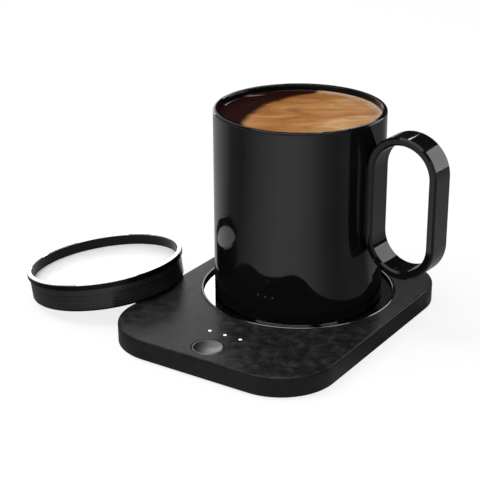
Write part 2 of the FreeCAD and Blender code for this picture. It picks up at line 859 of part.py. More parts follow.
def on_finger_hole(edge):
    """Whether an edge of the handle's flat face lies on the finger hole's outline."""
    box = edge.BoundBox
    if box.YLength > 1e-4 or abs(abs(box.YMin) - handle_depth / 2) > 1e-4:
        return False
    point = edge.valueAt((edge.FirstParameter + edge.LastParameter) / 2)
    straight = (handle_height - handle_reach) / 2
    beyond = max(0.0, abs(point.z - handle_middle_z) - straight)
    return abs(math.hypot(point.x - handle_middle_x, beyond) - handle_reach / 2 + handle_band) < 0.05


def mug_handle():
    """Bevelled flat band bent to a loop, on a saddle that fits the round wall."""
    band = handle_loop(0, handle_depth)
    band = band.makeChamfer(handle_bevel, [edge for edge in band.Edges if edge.BoundBox.YLength < 1e-4])
    band = band.cut(handle_loop(handle_band, handle_depth))
    band = band.makeChamfer(handle_bevel, [edge for edge in band.Edges if on_finger_hole(edge)])
    # the saddle fills the wedge between the band's flat back and the wall
    low = handle_middle_z - handle_saddle_height / 2
    saddle = centred_block(mug_radius, 0, 2 * handle_saddle_root, handle_depth - 2 * handle_bevel,
                           low, low + handle_saddle_height)
    wall_space = disc(mug_radius + glue, plate_top, mug_top)
    handle = band.fuse(saddle).cut(wall_space).removeSplitter()
    handle.rotate(Vector(0, 0, 0), UP, handle_turn_deg)
    handle.translate(seat_centre)
    return handle


# Lid, built level with its underside at zero and then leaned on the base
def lean_lid(shape):
    """Tilt a piece of the lid and set it down, low side on the table, high side on the base's edge."""
    lean = math.radians(lid_lean_deg)
    centre_z = (lid_base_radius - lid_edge_bevel) * math.sin(lean)
    edge_x = -half_width + top_edge_round
    edge_z = housing_top - top_edge_round
    reach = (edge_z - centre_z) * math.cos(lean) + top_edge_round + lid_rest_gap
    shape.rotate(Vector(0, 0, 0), Vector(0, 1, 0), -lid_lean_deg)
    shape.translate(Vector(edge_x - reach / math.sin(lean), -lid_front_offset, centre_z))
    return shape


def lid_body():
    """Turned shell: flange, recess wall and floor, and the skirt below the floor."""
    flange_upper = lid_height - lid_trim_thickness
    floor_under = lid_floor_top - lid_floor_thickness
    profile = [
        (0, floor_under),
        (lid_skirt_radius, floor_under),
        (lid_skirt_radius, lid_base_thickness),
        (lid_core_radius, lid_base_thickness),
        (lid_core_radius, lid_flange_bottom),
        (lid_flange_radius, lid_flange_bottom),
        (lid_flange_radius, flange_upper),
        (lid_recess_radius, flange_upper),
        (lid_recess_radius, lid_floor_top),
        (0, lid_floor_top),
    ]
    body = turned(profile)
    return lean_lid(body.makeChamfer(lid_edge_bevel, circles_at(body, lid_flange_radius, lid_flange_bottom)))


def lid_trim():
    """Bright ring on top of the flange."""
    trim = ring(lid_recess_radius, lid_flange_radius, lid_height - lid_trim_thickness, lid_height)
    edges = circles_at(trim, lid_flange_radius, lid_height) + circles_at(trim, lid_recess_radius, lid_height)
    return lean_lid(trim.makeChamfer(lid_trim_bevel, edges))


def lid_disc():
    """Bright disc laid on the floor of the recess."""
    top = lid_floor_top + lid_disc_thickness
    return lean_lid(disc(lid_recess_radius - lid_trim_inset, lid_floor_top, top))


def lid_sleeve():
    """Soft sleeve that fits the mug's mouth."""
    sleeve = ring(lid_core_radius, lid_sleeve_radius, lid_base_thickness, lid_flange_bottom - glue)
    bottom_edge = circles_at(sleeve, lid_sleeve_radius, lid_base_thickness)
    return lean_lid(sleeve.makeChamfer(lid_sleeve_bevel, bottom_edge))


def lid_base():
    """Plate that closes the underside, on a spigot inside the skirt."""
    plate = disc(lid_base_radius, 0, lid_base_thickness)
    plate = plate.makeChamfer(lid_edge_bevel, circles_at(plate, lid_base_radius, 0))
    spigot = lid_skirt_radius - glue
    collar_top = lid_base_thickness + lid_spigot_height
    collar = ring(spigot - lid_spigot_wall, spigot, lid_base_thickness, collar_top)
    return lean_lid(plate.fuse(collar).removeSplitter())


# Every sub-part by the name of its node
SUBPARTS = {
    "top_housing": top_housing,
    "bottom_cover": bottom_cover,
    "rest_pad": rest_pad,
    "trim_ring": trim_ring,
    "plate_gasket": plate_gasket,
    "heating_plate": heating_plate,
    "heater_film": heater_film,
    "insulation_pad": insulation_pad,
    "heater_clamp": heater_clamp,
    "clamp_screws": clamp_screws,
    "case_screws": case_screws,
    "board_screws": board_screws,
    "control_board": control_board,
    "board_chips": board_chips,
    "board_connectors": board_connectors,
    "indicator_leds": indicator_leds,
    "light_pipe": light_pipe,
    "switch_body": switch_body,
    "switch_plunger": switch_plunger,
    "button_cap": button_cap,
    "inlet_shell": inlet_shell,
    "inlet_tongue": inlet_tongue,
    "inlet_board": inlet_board,
    "heater_wires": heater_wires,
    "thermal_fuse": thermal_fuse,
    "temperature_sensor": temperature_sensor,
    "sensor_wires": sensor_wires,
    "supply_wires": supply_wires,
    "mug_body": mug_body,
    "mug_handle": mug_handle,
    "lid_body": lid_body,
    "lid_trim": lid_trim,
    "lid_disc": lid_disc,
    "lid_sleeve": lid_sleeve,
    "lid_base": lid_base,
}


os.makedirs("parts", exist_ok=True)
for name, make in SUBPARTS.items():
    shape = make()
    shape.exportStep("parts/" + name + ".step")
    print(name, "valid" if shape.isValid() else "NOT VALID", len(shape.Solids), "solids",
          round(shape.Volume, 1), "mm3")
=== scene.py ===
# %% [markdown]
# # Dressing a measured mug warmer
# The object is a thin heated base with a round seat, a straight black mug that stands on it, and
# the mug's lid, which leans on the base's edge. Every solid was made and measured before, so this
# lesson doesn't model the big shapes again. It loads them, gives each one a finish with real
# detail, and adds the few things that are easier to make here: the drink, its bubbles and the
# screw heads.

# %% Load the measured parts
import math

import bmesh
import bpy
from mathutils import Matrix, Vector


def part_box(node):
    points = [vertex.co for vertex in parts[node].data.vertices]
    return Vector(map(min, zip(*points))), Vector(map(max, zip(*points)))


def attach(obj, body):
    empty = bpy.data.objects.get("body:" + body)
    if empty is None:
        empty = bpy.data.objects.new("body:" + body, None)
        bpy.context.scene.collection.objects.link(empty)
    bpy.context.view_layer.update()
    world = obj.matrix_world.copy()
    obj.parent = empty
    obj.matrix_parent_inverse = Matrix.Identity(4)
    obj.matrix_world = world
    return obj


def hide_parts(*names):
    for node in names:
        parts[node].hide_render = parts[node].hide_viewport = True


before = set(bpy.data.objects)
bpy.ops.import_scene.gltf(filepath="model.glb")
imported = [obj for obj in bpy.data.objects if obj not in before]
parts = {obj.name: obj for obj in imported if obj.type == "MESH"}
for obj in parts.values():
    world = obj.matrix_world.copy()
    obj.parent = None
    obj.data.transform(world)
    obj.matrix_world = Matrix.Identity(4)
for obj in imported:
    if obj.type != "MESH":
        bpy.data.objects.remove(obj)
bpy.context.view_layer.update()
scene = bpy.context.scene

# %% [markdown]
# The frame is in metres with Z up and the table at zero. A few places come back again and again:
# the axis of the round seat, which is the mug's axis too, the mug's rim and the base's top face.
# Reading them from the parts' own boxes keeps every later step in step with the measured model.

# %% Places that the steps share
MM = 0.001
plate_low, plate_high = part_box("heating_plate")
mug_low, mug_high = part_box("mug_body")
housing_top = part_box("top_housing")[1].z
seat_centre = Vector(((plate_low.x + plate_high.x) / 2, (plate_low.y + plate_high.y) / 2, 0))
print("seat axis at", [round(v / MM, 1) for v in seat_centre], "mm")
print("mug rim at", round(mug_high.z / MM, 2), "mm, base top at", round(housing_top / MM, 2), "mm")

# %% [markdown]
# ## The camera
# A camera is a place, a direction and a lens. These values were found by lining up the mug's rim,
# the handle and the base's corners with their outlines, so the picture has the same perspective.
# The camera looks down by about 22 degrees from the front right corner, and it rolls by a third of
# a degree. Its focal length was found in pixels of a picture 480 pixels wide.

# %% Camera
camera_place = Vector((312.56, -506.70, 287.16)) * MM
turn, tilt, roll = math.radians(33.51), math.radians(22.46), math.radians(-0.33)
focal_length_px, picture_width_px, sensor_width = 1351.31, 480, 36
backward = Vector((math.sin(turn) * math.cos(tilt), -math.cos(turn) * math.cos(tilt),
                   math.sin(tilt)))
level_right = Vector((math.cos(turn), math.sin(turn), 0))
level_up = backward.cross(level_right)
right = math.cos(roll) * level_right + math.sin(roll) * level_up
up = math.cos(roll) * level_up - math.sin(roll) * level_right
facing = Matrix((right, up, backward)).transposed().to_4x4()
lens = bpy.data.cameras.new("viewing_camera")
lens.sensor_width = sensor_width
lens.lens = focal_length_px / picture_width_px * sensor_width
lens.clip_end = 50
camera = bpy.data.objects.new("viewing_camera", lens)
camera.matrix_world = Matrix.Translation(camera_place) @ facing
scene.collection.objects.link(camera)
scene.camera = camera
print("lens", round(lens.lens, 1), "mm")

# %% [markdown]
# ## Helpers for node trees
# A finish is a tree of nodes that ends in one shader. The same few moves come back in each: read
# the place on the part, make a soft random pattern of a known size, turn a pattern into colours or
# into a range of numbers, and raise the surface by a known depth. Each helper does one of these
# moves, and sizes are given in metres, so a grain of half a millimetre is written as such.

# %% Helpers: start a finish and wire it
# A colour Mix node has several sockets of each name, so these four are reached by number.
MIX_SHARE, MIX_FIRST, MIX_SECOND, MIX_RESULT = 0, 6, 7, 2
# This stretch leaves the height out, so that a distance is measured from an upright axis.
LEVEL_ONLY = (1, 1, 0)


def new_finish(name, colour, roughness, metallic=0.0, ior=1.5, coat=0.0):
    """A material whose plain values sit on the shader's own sockets."""
    finish = bpy.data.materials.new(name)
    finish.use_nodes = True
    shader = finish.node_tree.nodes["Principled BSDF"]
    shader.inputs["Base Color"].default_value = (*colour, 1)
    shader.inputs["Roughness"].default_value = roughness
    shader.inputs["Metallic"].default_value = metallic
    shader.inputs["IOR"].default_value = ior
    shader.inputs["Coat Weight"].default_value = coat
    shader.inputs["Coat Roughness"].default_value = 0.08
    finish.diffuse_color = (*colour, 1)
    return finish


def add_node(finish, kind, **settings):
    """One node with its settings."""
    made = finish.node_tree.nodes.new(kind)
    for key, value in settings.items():
        setattr(made, key, value)
    return made


def join(finish, source, target):
    """A wire from an output to an input; a plain value is set on the input."""
    if isinstance(source, bpy.types.NodeSocket):
        finish.node_tree.links.new(source, target)
    else:
        target.default_value = source


def shader_input(finish, name):
    """One socket of the finish's shader."""
    return finish.node_tree.nodes["Principled BSDF"].inputs[name]


# %% Helpers: places and distances on the part
def place(finish, centre=(0, 0, 0), stretch=(1, 1, 1)):
    """The point on the part, measured from a centre and stretched."""
    coordinate = add_node(finish, "ShaderNodeTexCoord")
    mapping = add_node(finish, "ShaderNodeMapping", vector_type="POINT")
    mapping.inputs["Location"].default_value = [-c * s for c, s in zip(centre, stretch)]
    mapping.inputs["Scale"].default_value = stretch
    join(finish, coordinate.outputs["Object"], mapping.inputs["Vector"])
    return mapping.outputs["Vector"]


def axes_from(finish, centre=(0, 0, 0)):
    """The point's X, Y and Z from a centre, in metres."""
    split = add_node(finish, "ShaderNodeSeparateXYZ")
    join(finish, place(finish, centre), split.inputs["Vector"])
    return split.outputs


def distance_from(finish, centre, stretch=(1, 1, 1)):
    """How far the point is from a centre, in metres."""
    length = add_node(finish, "ShaderNodeVectorMath", operation="LENGTH")
    join(finish, place(finish, centre, stretch), length.inputs[0])
    return length.outputs["Value"]


def bearing_round(finish, centre):
    """The direction of the point from an upright axis, in radians from +X."""
    axes = axes_from(finish, centre)
    return sums(finish, "ARCTAN2", axes["Y"], axes["X"])


# %% Helpers: patterns
def noise_over(finish, vector, size, detail, rough, twist):
    """Soft random pattern over a wired place, with features about `size` metres across."""
    noise = add_node(finish, "ShaderNodeTexNoise", noise_dimensions="3D")
    join(finish, vector, noise.inputs["Vector"])
    noise.inputs["Scale"].default_value = 1 / size
    noise.inputs["Detail"].default_value = detail
    noise.inputs["Roughness"].default_value = rough
    noise.inputs["Distortion"].default_value = twist
    return noise.outputs["Fac"]


def clouds(finish, size, detail=3.0, rough=0.55, twist=0.0, stretch=(1, 1, 1), shift=(0, 0, 0)):
    """Soft random pattern over the part."""
    return noise_over(finish, place(finish, shift, stretch), size, detail, rough, twist)


def cell_texture(finish, size, distance="EUCLIDEAN"):
    """Random cells about `size` metres across: the node, because it has several outputs."""
    made = add_node(finish, "ShaderNodeTexVoronoi", feature="F1", distance=distance)
    join(finish, place(finish), made.inputs["Vector"])
    made.inputs["Scale"].default_value = 1 / size
    return made


def cells(finish, size):
    """How far the point is from the middle of its cell."""
    return cell_texture(finish, size).outputs["Distance"]


def lines_along(finish, distance, pitch, detail):
    """Fine random lines across a wired distance, about `pitch` metres apart."""
    lines = add_node(finish, "ShaderNodeTexNoise", noise_dimensions="1D")
    join(finish, distance, lines.inputs["W"])
    lines.inputs["Scale"].default_value = 1 / pitch
    lines.inputs["Detail"].default_value = detail
    return lines.outputs["Fac"]


def turned_lines(finish, centre, pitch, stretch=(1, 1, 1)):
    """Fine circular tool marks around a centre."""
    return lines_along(finish, distance_from(finish, centre, stretch), pitch, detail=3)


# %% Helpers: use a pattern
def sums(finish, operation, first, second=0.0):
    """One sum of two patterns or numbers; some operations use only the first."""
    made = add_node(finish, "ShaderNodeMath", operation=operation)
    join(finish, first, made.inputs[0])
    join(finish, second, made.inputs[1])
    return made.outputs["Value"]


def numbers_along(finish, pattern, low, high, start=0.3, end=0.7):
    """Numbers from low to high while the pattern goes from start to end."""
    span = add_node(finish, "ShaderNodeMapRange")
    span.inputs["From Min"].default_value = start
    span.inputs["From Max"].default_value = end
    span.inputs["To Min"].default_value = low
    span.inputs["To Max"].default_value = high
    join(finish, pattern, span.inputs["Value"])
    return span.outputs["Result"]


def ranged(finish, pattern, low, high, start=0.3, end=0.7, target="Roughness"):
    """The same numbers, wired to one of the shader's sockets."""
    numbers = numbers_along(finish, pattern, low, high, start, end)
    join(finish, numbers, shader_input(finish, target))


def colours_along(finish, pattern, stops):
    """Colours along a pattern: stops are (position, colour)."""
    ramp = add_node(finish, "ShaderNodeValToRGB")
    elements = ramp.color_ramp.elements
    while len(elements) < len(stops):
        elements.new(0.5)
    for element, (position, colour) in zip(elements, stops):
        element.position = position
        element.color = (*colour, 1)
    join(finish, pattern, ramp.inputs["Fac"])
    return ramp.outputs["Color"]


def graded(finish, pattern, stops):
    """The same colours, wired to the shader's colour."""
    join(finish, colours_along(finish, pattern, stops), shader_input(finish, "Base Color"))


def mix_of(finish, share, first, second):
    """One colour turning into another by a share from 0 to 1."""
    mix = add_node(finish, "ShaderNodeMix", data_type="RGBA")
    join(finish, share, mix.inputs[MIX_SHARE])
    for value, socket in ((first, mix.inputs[MIX_FIRST]), (second, mix.inputs[MIX_SECOND])):
        join(finish, (*value, 1) if isinstance(value, tuple) else value, socket)
    return mix.outputs[MIX_RESULT]


def blended(finish, share, first, second):
    """The same mix, wired to the shader's colour."""
    join(finish, mix_of(finish, share, first, second), shader_input(finish, "Base Color"))


def raised(finish, pattern, depth):
    """The surface goes up and down by `depth` metres; later calls add to earlier ones."""
    bump = add_node(finish, "ShaderNodeBump")
    bump.inputs["Distance"].default_value = depth
    join(finish, pattern, bump.inputs["Height"])
    normal = shader_input(finish, "Normal")
    if normal.is_linked:
        join(finish, normal.links[0].from_socket, bump.inputs["Normal"])
    join(finish, bump.outputs["Normal"], normal)


def dress(finish, *names):
    """Puts the finish on measured parts."""
    for name in names:
        slots = parts[name].data.materials
        slots.clear()
        slots.append(finish)
    print(finish.name, "on", ", ".join(names))


# %% [markdown]
# ## The base's slate finish
# The housing is a moulding with a soft-touch coat in a dark slate grey. Seen close, it isn't one
# grey: blotches of a few millimetres run into each other like worn leather, with a fine grain on
# top. A layer of clouds gives the blotches their colour and relief, and a finer one adds the
# grain. The darkest blotches are also the glossiest, as on a rubbed coat, so roughness follows the
# same pattern as colour. The sides are plainer and duller than the top, so both colour and shine
# change with the height, inside the rounded edge.

# %% Slate finish
slate = new_finish("slate_coat", (0.012, 0.012, 0.0125), 0.4, ior=1.42)
blotches = clouds(slate, 4.2 * MM, detail=5, rough=0.6, twist=0.3)
slate_tone = colours_along(slate, blotches, [
    (0.34, (0.009, 0.009, 0.0094)), (0.5, (0.017, 0.017, 0.0178)),
    (0.68, (0.033, 0.033, 0.0345))])
side_share = numbers_along(slate, axes_from(slate)["Z"], 1, 0,
                           housing_top - 0.55 * MM, housing_top - 0.15 * MM)
side_tone = colours_along(slate, blotches, [
    (0.35, (0.008, 0.008, 0.0084)), (0.7, (0.013, 0.013, 0.0135))])
blended(slate, side_share, slate_tone, side_tone)
ranged(slate, blotches, 0.33, 0.45, 0.35, 0.65)
ranged(slate, side_share, 0.5, 0.15, 0, 1, target="Specular IOR Level")
raised(slate, blotches, 0.08 * MM)
raised(slate, clouds(slate, 0.55 * MM, detail=2), 0.035 * MM)
dress(slate, "top_housing")

# %% [markdown]
# ## Black mouldings and rubber
# Hidden covers and switch parts are plain black mouldings. Their tool was spark-eroded, which
# leaves an even sandy grain, and the plastic's flow leaves broad, faint differences in gloss. The
# pad under the base and the plate's seal are silicone rubber, which is duller and picks up pale
# dust.

# %% Black mouldings
cover_black = new_finish("spark_grained_black", (0.018, 0.018, 0.019), 0.55)
graded(cover_black, clouds(cover_black, 14 * MM), [
    (0.35, (0.014, 0.014, 0.015)), (0.7, (0.026, 0.026, 0.027))])
ranged(cover_black, clouds(cover_black, 26 * MM, shift=(0.3, 0.1, 0)), 0.46, 0.62)
raised(cover_black, clouds(cover_black, 0.3 * MM, detail=2), 0.04 * MM)
dress(cover_black, "bottom_cover")

switch_black = new_finish("switch_black", (0.022, 0.022, 0.022), 0.42)
graded(switch_black, clouds(switch_black, 2.5 * MM), [
    (0.4, (0.016, 0.016, 0.016)), (0.65, (0.034, 0.034, 0.035))])
ranged(switch_black, clouds(switch_black, 4 * MM), 0.34, 0.5)
raised(switch_black, clouds(switch_black, 0.2 * MM), 0.012 * MM)
dress(switch_black, "switch_body", "switch_plunger", "inlet_tongue")

package_black = new_finish("chip_resin", (0.02, 0.02, 0.021), 0.6)
graded(package_black, cells(package_black, 0.35 * MM), [
    (0.1, (0.016, 0.016, 0.017)), (0.8, (0.03, 0.03, 0.031))])
ranged(package_black, clouds(package_black, 1.2 * MM), 0.5, 0.7)
raised(package_black, clouds(package_black, 0.12 * MM), 0.01 * MM)
dress(package_black, "board_chips")

# %% Rubber
rubber = new_finish("silicone_rubber", (0.017, 0.017, 0.018), 0.66)
graded(rubber, cells(rubber, 2.4 * MM), [
    (0.0, (0.05, 0.05, 0.048)), (0.07, (0.019, 0.019, 0.02)), (1.0, (0.014, 0.014, 0.015))])
ranged(rubber, clouds(rubber, 9 * MM), 0.56, 0.74)
raised(rubber, clouds(rubber, 0.8 * MM, detail=4), 0.03 * MM)
dress(rubber, "rest_pad", "plate_gasket")

# %% [markdown]
# ## Bright metal and the lid's white floor
# The heating plate is stainless steel polished like a mirror. Even a mirror keeps faint circles
# from the polishing wheel, and touching it leaves cloudy patches where the shine is softer. The
# trim ring around it is plated dark, with finer turning marks. The ring on the lid's rim has the
# same polish as the plate, centred on the lid. The floor of the lid's recess is a white satin
# lacquer: its shine is soft, and a low, fine ripple breaks it up.

# %% Mirror plate and dark trim
mirror = new_finish("mirror_steel", (0.86, 0.86, 0.87), 0.05, metallic=1.0)
ranged(mirror, clouds(mirror, 22 * MM, detail=4), 0.03, 0.08, 0.35, 0.75)
graded(mirror, clouds(mirror, 30 * MM, shift=(0.2, 0, 0)), [
    (0.3, (0.92, 0.92, 0.93)), (0.7, (0.97, 0.97, 0.98))])
raised(mirror, turned_lines(mirror, seat_centre, 0.5 * MM, LEVEL_ONLY), 0.0003 * MM)
dress(mirror, "heating_plate")

dark_chrome = new_finish("dark_bright_trim", (0.22, 0.22, 0.225), 0.16, metallic=1.0)
shader_input(dark_chrome, "Specular Tint").default_value = (0.5, 0.5, 0.5, 1)
trim_lines = turned_lines(dark_chrome, seat_centre, 0.12 * MM, LEVEL_ONLY)
graded(dark_chrome, clouds(dark_chrome, 12 * MM), [
    (0.35, (0.19, 0.19, 0.195)), (0.7, (0.25, 0.25, 0.255))])
ranged(dark_chrome, trim_lines, 0.10, 0.22)
raised(dark_chrome, trim_lines, 0.001 * MM)
dress(dark_chrome, "trim_ring")

# %% Polished lid rim and white lid floor
lid_low, lid_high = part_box("lid_disc")
lid_centre = (lid_low + lid_high) / 2
lid_mirror = new_finish("lid_mirror_steel", (0.9, 0.9, 0.91), 0.05, metallic=1.0)
ranged(lid_mirror, clouds(lid_mirror, 16 * MM, detail=4), 0.03, 0.09, 0.35, 0.75)
graded(lid_mirror, clouds(lid_mirror, 24 * MM), [
    (0.3, (0.86, 0.86, 0.87)), (0.7, (0.93, 0.93, 0.94))])
raised(lid_mirror, turned_lines(lid_mirror, lid_centre, 0.5 * MM), 0.0003 * MM)
dress(lid_mirror, "lid_trim")

lid_white = new_finish("lid_white_lacquer", (0.95, 0.95, 0.945), 0.3)
graded(lid_white, clouds(lid_white, 20 * MM), [
    (0.3, (0.94, 0.94, 0.935)), (0.7, (0.96, 0.96, 0.955))])
ranged(lid_white, clouds(lid_white, 12 * MM, detail=4), 0.26, 0.38)
raised(lid_white, clouds(lid_white, 0.5 * MM), 0.004 * MM)
dress(lid_white, "lid_disc")

# %% [markdown]
# ## Gloss black: the mug's glaze and the lid's shell
# A black glaze is a layer of glass over dark clay. Its colour is nearly black everywhere, so what
# the eye sees is what it mirrors. A fired glaze is never quite flat: it flowed while it melted,
# and those long, low waves bend the mirrored edges. A few pinholes stay where gas came out. Under
# the foot, where the mug stood in the kiln, there is no glaze, and the bare clay is rough and warm
# grey. Inside, the wall mirrors little but itself, so its shine is set lower there. The lid's
# sleeve is silicone with fine ribs around it. The lid leans, so the ribs are lines along the
# lid's own axis.

# %% Black glaze
glaze = new_finish("black_glaze", (0.0045, 0.0045, 0.005), 0.05, ior=1.5)
foot_share = numbers_along(glaze, axes_from(glaze)["Z"], 1, 0,
                           mug_low.z + 0.02 * MM, mug_low.z + 0.12 * MM)
clay = colours_along(glaze, clouds(glaze, 1.6 * MM, detail=5), [
    (0.35, (0.13, 0.11, 0.095)), (0.7, (0.24, 0.21, 0.18))])
depth_of_glaze = colours_along(glaze, clouds(glaze, 34 * MM), [
    (0.3, (0.0035, 0.0035, 0.004)), (0.7, (0.0065, 0.0062, 0.0065))])
blended(glaze, foot_share, depth_of_glaze, clay)
gloss = numbers_along(glaze, clouds(glaze, 18 * MM, detail=4), 0.03, 0.075)
added_at_foot = sums(glaze, "MULTIPLY", foot_share, 0.6)
join(glaze, sums(glaze, "ADD", gloss, added_at_foot), shader_input(glaze, "Roughness"))
inner_wall_radius = 38.5 * MM
inside_share = numbers_along(glaze, distance_from(glaze, seat_centre, LEVEL_ONLY), 1, 0,
                             inner_wall_radius + 0.2 * MM, inner_wall_radius + 0.6 * MM)
ranged(glaze, inside_share, 0.5, 0.18, 0, 1, target="Specular IOR Level")
raised(glaze, clouds(glaze, 26 * MM, detail=1, rough=0.3), 0.16 * MM)
pinholes = numbers_along(glaze, cells(glaze, 5 * MM), 0, 1, 0.0, 0.05)
raised(glaze, pinholes, 0.03 * MM)
dress(glaze, "mug_body", "mug_handle")

# %% Lid shell and its seal
lid_gloss = new_finish("lid_gloss_black", (0.004, 0.0033, 0.0033), 0.1, ior=1.22)
graded(lid_gloss, clouds(lid_gloss, 20 * MM), [
    (0.3, (0.003, 0.0025, 0.0025)), (0.7, (0.0055, 0.0045, 0.0045))])
ranged(lid_gloss, clouds(lid_gloss, 9 * MM, detail=4), 0.07, 0.16)
raised(lid_gloss, clouds(lid_gloss, 7 * MM, detail=1), 0.01 * MM)
dress(lid_gloss, "lid_body", "lid_base")

seal_black = new_finish("lid_seal_silicone", (0.016, 0.016, 0.017), 0.42)
lid_lean = math.radians(8.9)
along_axis = add_node(seal_black, "ShaderNodeVectorMath", operation="DOT_PRODUCT")
join(seal_black, place(seal_black, lid_centre), along_axis.inputs[0])
along_axis.inputs[1].default_value = (-math.sin(lid_lean), 0, math.cos(lid_lean))
ribs = lines_along(seal_black, along_axis.outputs["Value"], 1.1 * MM, detail=2)
graded(seal_black, ribs, [(0.35, (0.008, 0.008, 0.0085)), (0.65, (0.021, 0.021, 0.022))])
ranged(seal_black, clouds(seal_black, 6 * MM), 0.2, 0.28)
raised(seal_black, ribs, 0.03 * MM)
dress(seal_black, "lid_sleeve")

# %% [markdown]
# ## Button and status lights
# The button is a dished cap in a mid-grey satin. A blasted surface has an even, tiny grain, and a
# ring of turning marks shows faintly in its dish. Beside it, three clear pins carry the light of
# three small lamps up to the top face. Only their ends glow, so the glow follows the height on
# the part.

# %% Satin button
cap_low, cap_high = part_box("button_cap")
cap_centre = Vector(((cap_low.x + cap_high.x) / 2, (cap_low.y + cap_high.y) / 2, cap_high.z))
satin = new_finish("satin_grey_cap", (0.30, 0.30, 0.305), 0.32, metallic=1.0)
shader_input(satin, "Specular Tint").default_value = (0.5, 0.5, 0.5, 1)
graded(satin, clouds(satin, 3 * MM, detail=4), [
    (0.35, (0.26, 0.26, 0.265)), (0.7, (0.34, 0.34, 0.345))])
ranged(satin, turned_lines(satin, cap_centre, 0.35 * MM), 0.25, 0.36)
raised(satin, clouds(satin, 0.14 * MM), 0.006 * MM)
raised(satin, turned_lines(satin, cap_centre, 0.3 * MM), 0.003 * MM)
dress(satin, "button_cap")

# %% Light pipe and lamp chips
pipe_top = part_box("light_pipe")[1].z
clear = new_finish("clear_light_pipe", (0.92, 0.94, 0.95), 0.08, ior=1.49)
shader_input(clear, "Transmission Weight").default_value = 0.6
shader_input(clear, "Emission Color").default_value = (1.0, 1.0, 1.0, 1)
ranged(clear, axes_from(clear)["Z"], 0, 0.95, pipe_top - 0.5 * MM, pipe_top - 0.05 * MM,
       target="Emission Strength")
ranged(clear, clouds(clear, 1.5 * MM), 0.05, 0.18)
raised(clear, clouds(clear, 0.8 * MM), 0.01 * MM)
dress(clear, "light_pipe")

lamp_chip = new_finish("lamp_chip", (0.9, 0.86, 0.6), 0.35, coat=0.4)
graded(lamp_chip, cells(lamp_chip, 0.9 * MM), [
    (0.2, (0.92, 0.72, 0.2)), (0.55, (0.93, 0.92, 0.86))])
ranged(lamp_chip, clouds(lamp_chip, 0.6 * MM), 0.25, 0.45)
dress(lamp_chip, "indicator_leds")

# %% [markdown]
# ## What is under the plate
# A part is judged with its covers off too. The heater is a thin amber film with an etched foil
# track, pressed up by a stamped steel spider over a pad of white ceramic fibre. Steel from a
# stamping press is zinc-plated, and the zinc grows in flat crystals, so cells of slightly
# different grey suit it.

# %% Heater film and insulation
film = new_finish("amber_film", (0.5, 0.28, 0.06), 0.25, coat=0.5)
from_middle = distance_from(film, seat_centre, LEVEL_ONLY)
track = sums(film, "FRACT", sums(film, "DIVIDE", from_middle, 4.2 * MM))
graded(film, track, [
    (0.0, (0.55, 0.30, 0.06)), (0.30, (0.55, 0.30, 0.06)), (0.34, (0.62, 0.58, 0.5)),
    (0.66, (0.62, 0.58, 0.5)), (0.70, (0.48, 0.25, 0.05))])
ranged(film, clouds(film, 5 * MM), 0.18, 0.36)
raised(film, track, 0.02 * MM)
dress(film, "heater_film")

fibre = new_finish("ceramic_fibre", (0.75, 0.74, 0.7), 0.95)
strands = clouds(fibre, 1.2 * MM, detail=6, twist=1.5, stretch=(3, 0.6, 1))
graded(fibre, strands, [(0.3, (0.60, 0.58, 0.53)), (0.7, (0.82, 0.81, 0.77))])
ranged(fibre, strands, 0.85, 1.0)
raised(fibre, strands, 0.25 * MM)
dress(fibre, "insulation_pad")

# %% Zinc-plated steel
zinc = new_finish("zinc_plated_steel", (0.6, 0.6, 0.6), 0.34, metallic=1.0)
tint = add_node(zinc, "ShaderNodeSeparateColor")
join(zinc, cell_texture(zinc, 3.5 * MM).outputs["Color"], tint.inputs["Color"])
graded(zinc, tint.outputs["Red"], [(0.0, (0.5, 0.5, 0.5)), (1.0, (0.68, 0.68, 0.67))])
ranged(zinc, tint.outputs["Green"], 0.26, 0.42, 0, 1)
raised(zinc, clouds(zinc, 0.7 * MM, stretch=(1, 0.2, 1)), 0.004 * MM)
dress(zinc, "heater_clamp", "clamp_screws", "board_screws")

socket_steel = new_finish("drawn_socket_steel", (0.56, 0.56, 0.57), 0.3, metallic=1.0)
draw_lines = clouds(socket_steel, 0.35 * MM, stretch=(1, 0.05, 1))
graded(socket_steel, draw_lines, [(0.3, (0.46, 0.46, 0.47)), (0.7, (0.64, 0.64, 0.65))])
ranged(socket_steel, draw_lines, 0.22, 0.4)
raised(socket_steel, draw_lines, 0.003 * MM)
dress(socket_steel, "inlet_shell")

# %% [markdown]
# ## Boards, headers and leads
# The circuit boards are glass cloth under green lacquer: a fine woven relief, with copper tracks
# that show through as a lighter green. Square random cells make believable track edges. The leads
# are silicone-covered, red for the heater and the supply and black for the sensor.

# %% Circuit boards and headers
board_green = new_finish("green_lacquer", (0.012, 0.11, 0.04), 0.32, coat=0.3)
tracks = cell_texture(board_green, 3.2 * MM, distance="CHEBYCHEV")
graded(board_green, tracks.outputs["Distance"], [
    (0.0, (0.02, 0.17, 0.06)), (0.34, (0.02, 0.17, 0.06)),
    (0.38, (0.008, 0.075, 0.03)), (1.0, (0.01, 0.09, 0.035))])
weave = sums(board_green, "MULTIPLY", clouds(board_green, 0.5 * MM, stretch=(6, 1, 1)),
             clouds(board_green, 0.5 * MM, stretch=(1, 6, 1)))
ranged(board_green, weave, 0.26, 0.42, 0.1, 0.5)
raised(board_green, weave, 0.02 * MM)
dress(board_green, "control_board", "inlet_board")

ivory = new_finish("ivory_header", (0.74, 0.72, 0.62), 0.42)
graded(ivory, clouds(ivory, 3 * MM), [(0.3, (0.66, 0.64, 0.54)), (0.7, (0.78, 0.76, 0.67))])
ranged(ivory, clouds(ivory, 2 * MM), 0.34, 0.5)
raised(ivory, clouds(ivory, 0.25 * MM), 0.008 * MM)
dress(ivory, "board_connectors")

